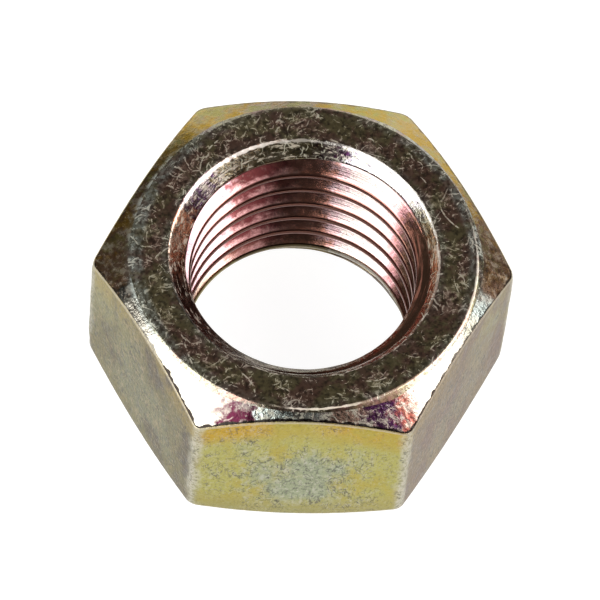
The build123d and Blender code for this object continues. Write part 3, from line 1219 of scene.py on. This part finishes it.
def bore_material(finish):
    """The countersinks and the thread: pink film on the flanks, darker on the crests, yellow low down,
    and coppery brown on the countersinks, with fine marks of the tap round the bore. Painted glints and
    painted shade lie on the flanks at the back, and painted highlights on the lit foot and on the
    countersinks' rims."""
    material, tree, shader, coordinates = new_material("plated_bore")
    turned = use_group("Turn round axis", Coordinates=coordinates, Fray=0.08, Scale=1500.0)
    turn = turned["Turn"]
    tapped = attribute(tree, "tapped")
    crest = attribute(tree, "crest")
    from_edge = attribute(tree, "from_edge")
    bare, soot, blush, russet = finish.bare, finish.soot, finish.blush, finish.russet
    copper, brown, rust, frost = finish.copper, finish.umber, finish.rust, finish.frost
    cream, rosewood, garnet = finish.cream, finish.rosewood, finish.garnet
    moss, ivory, walnut = finish.moss, finish.ivory, finish.walnut
    cone = colour_ramp(turn, [
        (0.0, copper), (0.045, 0.13, soot), (0.2, 0.28, brown), (0.34, rust), (0.5, copper), (0.56, brown),
        (0.59, 0.68, frost), (0.7, finish.violet), (0.725, finish.magenta), (0.745, 0.825, brown),
        (0.842, 0.868, moss), (0.882, 0.912, finish.lilac), (0.93, finish.magenta), (0.945, 1.0, copper),
    ])
    # Film of the flanks round the bore; garnet here is painted shade on the flanks beside the left lit
    # part.
    lit = colour_ramp(turn, [
        (0.0, blush), (0.04, 0.57, walnut), (0.595, rosewood), (0.62, 0.675, cream), (0.7, blush),
        (0.72, 0.755, russet), (0.785, 0.85, garnet), (0.87, 1.0, blush),
    ])
    _, _, height_here = parts(coordinates)
    dusty = noise(coordinates, 900.0, detail=5.0, roughness=0.72)
    drawn = noise(stretch(coordinates, (750.0, 750.0, 3200.0)), 1.0, detail=5.0, roughness=0.7)
    flank = blend(remap(dusty, 0.48, 0.66, 0.0, 0.25), lit, russet)
    flank = blend(remap(height_here, 0.0024, 0.004, 0.9, 0.0), flank, finish.straw)
    # A painted glint on the upper part of each flank at the back and beside the left lit part: rust towards
    # the back, petal further left.
    middle = levels(turn, [(0.69, 0.0), (0.72, 0.855, 0.85), (0.885, 0.0)])
    uneven = dusty * 0.6 + drawn * 0.6
    ragged = uneven + attribute(tree, "up_flank")
    painted_glint_share = remap(ragged, 1.05, 1.35) * middle
    painted_glint_colour = blend(remap(turn, 0.74, 0.79), finish.rust, finish.petal)
    flank = blend(painted_glint_share, flank, painted_glint_colour)
    # The foot of the thread; its ivory where it is lit is a painted highlight.
    foot = colour_ramp(turn, [
        (0.0, 0.57, moss), (0.6, 0.68, ivory), (0.7, 0.84, moss), (0.87, 0.93, finish.straw), (0.96, moss),
    ])
    on_crest = blend(remap(height_here, 0.0036, 0.0042), foot, finish.maroon)
    right_side = levels(turn, [(0.4, 0.0), (0.46, 0.56, 1.0), (0.59, 0.0)])
    first_turn = right_side * remap(height_here, 0.0138, 0.0155)
    streaks = noise(stretch(coordinates, (150.0, 150.0, 5000.0)), 1.0, detail=4.0, roughness=0.7)
    ruddy = first_turn * remap(streaks, 0.44, 0.6)
    flank = blend(ruddy, flank, finish.rust)
    wall = blend(remap(crest, 0.0, 0.35), flank, on_crest)
    cone = blend(remap(dusty, 0.46, 0.62, 0.0, 0.5), cone, finish.chalk)
    cone = blend(remap(drawn, 0.5, 0.62, 0.0, 0.8), cone, finish.chalk)
    cone = blend(remap(drawn, 0.36, 0.46, 0.8, 0.0), cone, soot)
    film = blend(tapped, cone, wall)
    on_cone = 1.0 - tapped
    light = on_cone * 0.35 + 0.25
    film, grain = speckled(film, coordinates, bare, soot, scale=3500.0, share=0.45, light=light, dark=0.3)
    scratches = highest(
        strokes(coordinates, scale=1150.0, length=0.5, width=0.12, strength=0.9, wander=0.8),
        strokes(coordinates, scale=1800.0, length=0.5, width=0.15, strength=0.9, wander=0.8),
        strokes(coordinates, scale=700.0, length=0.5, width=0.07, strength=0.9, wander=0.8),
    )
    cut_side = levels(turn, [(0.0, 0.9), (0.03, 0.2, 0.35), (0.3, 1.0), (1.0, 0.9)])
    scratches = scratches * cut_side * on_cone
    film = blend(scratches, film, finish.ash)
    # Along the countersinks' mouths: rubbed zinc, and a painted highlight in pearl that is strongest round
    # the back.
    rim = mask_of(
        "Ragged edge band", Coordinates=coordinates, Distance=from_edge, Width=0.0002, Scale=1300.0, Raggedness=2.6
    )
    pale_edge_share = levels(turn, [
        (0.0, 0.25), (0.1, 0.4, 0.3), (0.6, 0.68, 0.9), (0.71, 0.5), (0.78, 0.6), (0.82, 0.9), (0.9, 0.8),
        (0.94, 0.3),
    ])
    rim = rim * pale_edge_share
    colour = blend(rim, film, finish.pearl)
    low = remap(height_here, 0.0036, 0.0042, 1.0, 0.0)
    # Where the foot is lit, the painted ivory highlight is made dull so that the lamps light it too.
    lit_foot = levels(turn, [(0.57, 0.0), (0.6, 0.68, 1.0), (0.7, 0.0)])
    lit_foot = low * lit_foot * crest

    skin = combine(turned["Radius"], attribute(tree, "up_flank"))
    lines = noise(stretch(skin, (9000.0, 9.0, 1.0)), 1.0)
    pits = (on_cone * 2.0 + 0.6) * grain
    height = lines + pits
    roughness = remap(dusty, 0.3, 0.7, 0.13, 0.24)
    dull = remap(drawn, 0.49, 0.62, 0.0, 0.8) * on_cone
    dull = highest(rim, dull, scratches, lit_foot)
    dull = highest(dull, ruddy * 0.55)
    metallic = remap(dull, 0.2, 1.0, 1.0, 0.2)
    finish_shader(shader, colour, roughness, metallic, height, depth=0.00001)
    return material


# The studio


FLOOR_LEVEL = -0.00003  # just below the bearing face, so that the two don't share a plane
SENSOR_WIDTH = 36.0  # in millimetres
CLIP_START = 0.01
HALO_DIRECTION = (0.683, -0.183, 0.707)  # from the nut towards the right soft box
SOFT_BOX_DISTANCE = 0.45
SOFT_BOXES = (  # azimuth, half width, lowest and highest elevation, all in degrees
    ("left_soft_box", -54.5, 26.5, 5, 57),
    ("left_side_box", -86.5, 5.5, 18, 54),
    ("far_left_box", -97, 5, 20, 33),
    ("right_soft_box", 80.5, 22.5, 19, 56),
    ("far_right_box", 113.5, 9.5, 21, 34),
)


def make_floor(studio):
    """A round floor just under the nut: rings of points whose radii grow by the same factor."""
    steps, sides, innermost = 24, 96, 0.002
    radii = np.geomspace(innermost, studio.floor_radius, steps)
    angles = np.arange(sides) * 2 * math.pi / sides
    spread = radii[:, None, None] * np.stack([np.cos(angles), np.sin(angles)], axis=-1)
    rim = np.concatenate([spread, np.full((steps, sides, 1), FLOOR_LEVEL)], axis=-1).reshape(-1, 3)
    places = np.concatenate([[[0.0, 0.0, FLOOR_LEVEL]], rim])
    here = np.arange(sides)
    following = (here + 1) % sides
    centre = np.stack([np.zeros(sides, int), here + 1, following + 1], axis=-1)
    ring = np.arange(steps - 1)[:, None] * sides + 1
    outer = ring + sides
    quads = np.stack([ring + here, outer + here, outer + following, ring + following], axis=-1)
    mesh = surface_mesh("studio_floor", places, centre, quads.reshape(-1, 4))
    mesh.materials.append(floor_material())
    floor = bpy.data.objects.new("studio_floor", mesh)
    bpy.context.scene.collection.objects.link(floor)
    return floor


def floor_material():
    """White paper. Most of its white is a glow that only the camera and mirrors see, so it keeps the
    nut's shadow as a pale grey. In the metal the glow fades out in the shade under the nut."""
    material, tree, shader, coordinates = new_material("white_paper")
    distance = vector_math("LENGTH", coordinates)
    shade = remap(noise(coordinates, 900.0, detail=3.0), 0.3, 0.7, 0.26, 0.30)
    colour = result("ShaderNodeCombineColor", {"Red": shade, "Green": shade, "Blue": shade})
    path = outputs_of(tree.nodes.new("ShaderNodeLightPath"))
    to_camera = highest(path["Is Camera Ray"], path["Is Transmission Ray"])
    under_nut = remap(distance, 0.0068, 0.0078, 0.3, 1.0)
    seen = highest(to_camera, path["Is Glossy Ray"] * under_nut)
    glow = seen * remap(distance, 0.03, 0.3, 0.94, 1.0)
    feed(shader, {"Base Color": colour, "Roughness": 0.9, "Specular IOR Level": 0.0})
    feed(shader, {"Emission Color": (*WHITE, 1.0), "Emission Strength": glow})
    return material


def make_world(studio):
    """The room: white to the camera, and to mirrors a dark ceiling above a white horizon, with a halo
    round the right soft box."""
    world = bpy.data.worlds.new("studio_room")
    bpy.context.scene.world = world
    world.use_nodes = True
    tree = world.node_tree
    tree.nodes.clear()
    direction = outputs_of(tree.nodes.new("ShaderNodeTexCoord"))["Generated"]
    _, away, up = parts(direction)
    ceiling = blend(remap(away, -0.4, 0.4), studio.front_ceiling, studio.ceiling)
    halo = remap(vector_math("DOT_PRODUCT", direction, HALO_DIRECTION), 0.80, 0.94)
    ceiling = blend(halo, ceiling, studio.halo)
    room = blend(remap(up, -0.02, 0.06), WHITE, ceiling)
    path = outputs_of(tree.nodes.new("ShaderNodeLightPath"))
    colour = blend(path["Is Camera Ray"], room, WHITE)
    background = result("ShaderNodeBackground", {"Color": colour, "Strength": 1.0})
    feed(tree.nodes.new("ShaderNodeOutputWorld"), {"Surface": background})


def make_soft_box(studio, name, azimuth, half_angle, bottom_angle, top_angle):
    """An upright lit rectangle that the nut sees between two azimuths and two elevations, turned to
    face the nut's axis. Angles are in degrees, and azimuth nought is straight in front."""
    distance = SOFT_BOX_DISTANCE
    width = 2 * distance * math.tan(math.radians(half_angle))
    bottom = distance * math.tan(math.radians(bottom_angle))
    top = distance * math.tan(math.radians(top_angle))
    lamp = bpy.data.lights.new(name, "AREA")
    lamp.shape = "RECTANGLE"
    lamp.size = width
    lamp.size_y = top - bottom
    lamp.energy = studio.lamp_radiance * math.pi * width * (top - bottom)
    box = bpy.data.objects.new(name, lamp)
    turn = math.radians(azimuth)
    box.location = (distance * math.sin(turn), -distance * math.cos(turn), (top + bottom) / 2)
    box.rotation_euler = (math.radians(90), 0.0, turn)
    box.visible_camera = False
    bpy.context.scene.collection.objects.link(box)


def make_camera(studio, height):
    """The camera at the photograph's angle: it stands back from the nut's middle along the line of
    sight, points a little above it, and is rolled about that line."""
    azimuth, elevation, roll = studio.camera_azimuth, studio.camera_elevation, studio.camera_roll
    flat = math.cos(elevation)
    back = Vector((math.sin(azimuth) * flat, -math.cos(azimuth) * flat, math.sin(elevation)))
    level = (-back).cross(Vector((0, 0, 1))).normalized()
    sight = (-back + studio.camera_tilt * level.cross(-back)).normalized()
    right = sight.cross(Vector((0, 0, 1))).normalized()
    up = right.cross(sight)
    across = right * math.cos(roll) + up * math.sin(roll)
    upright = up * math.cos(roll) - right * math.sin(roll)
    data = bpy.data.cameras.new("photo_camera")
    data.lens = studio.lens
    data.sensor_width = SENSOR_WIDTH
    data.clip_start = CLIP_START
    camera = bpy.data.objects.new("photo_camera", data)
    turned = Matrix((across, upright, -sight)).transposed().to_4x4()
    turned.translation = Vector((0, 0, height / 2)) + back * studio.camera_distance
    camera.matrix_world = turned
    bpy.context.scene.collection.objects.link(camera)
    bpy.context.scene.camera = camera


# Operators, panel and registration


class PLATED_NUT_OT_body(bpy.types.Operator):
    """Makes the plated nut in place of its plain solid"""

    bl_idname = "plated_nut.body"
    bl_label = "Make Nut"

    def execute(self, context):
        scene = context.scene
        for name, work_out, inputs in NODE_GROUPS:
            new_group(name, work_out, inputs)
        piece = make_nut(scene.nut_shape, scene.nut_thread, scene.nut_finish)
        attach(piece, "root")
        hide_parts(NODE)
        return {"FINISHED"}


class PLATED_NUT_OT_studio(bpy.types.Operator):
    """Makes the floor, the room, the soft boxes and the camera"""

    bl_idname = "plated_nut.studio"
    bl_label = "Make Studio"

    def execute(self, context):
        studio = context.scene.studio_set
        make_floor(studio)
        make_world(studio)
        for name, *angles in SOFT_BOXES:
            make_soft_box(studio, name, *angles)
        make_camera(studio, context.scene.nut_shape.height)
        context.scene.view_settings.view_transform = "Standard"
        return {"FINISHED"}


class PLATED_NUT_PT_panel(bpy.types.Panel):
    """Lists the steps and the sizes"""

    bl_idname = "PLATED_NUT_PT_panel"
    bl_label = "Plated Nut"
    bl_space_type = "VIEW_3D"
    bl_region_type = "UI"
    bl_category = "Plated Nut"

    def draw(self, context):
        layout = self.layout
        layout.operator(PLATED_NUT_OT_body.bl_idname)
        layout.operator(PLATED_NUT_OT_studio.bl_idname)
        for name in GROUPS:
            group = getattr(context.scene, name)
            box = layout.box()
            box.label(text=type(group).__doc__)
            for key in type(group).__annotations__:
                box.prop(group, key)


GROUPS = {"nut_shape": NutShape, "nut_thread": NutThread, "nut_finish": NutFinish, "studio_set": StudioSet}
CLASSES = (*GROUPS.values(), PLATED_NUT_OT_body, PLATED_NUT_OT_studio, PLATED_NUT_PT_panel)


def register():
    for cls in CLASSES:
        bpy.utils.register_class(cls)
    for name, group in GROUPS.items():
        setattr(bpy.types.Scene, name, bpy.props.PointerProperty(type=group))


def unregister():
    for name in GROUPS:
        delattr(bpy.types.Scene, name)
    for cls in reversed(CLASSES):
        bpy.utils.unregister_class(cls)


def main():
    register()
    bpy.ops.plated_nut.body()
    bpy.ops.plated_nut.studio()


if __name__ == "__main__":
    main()
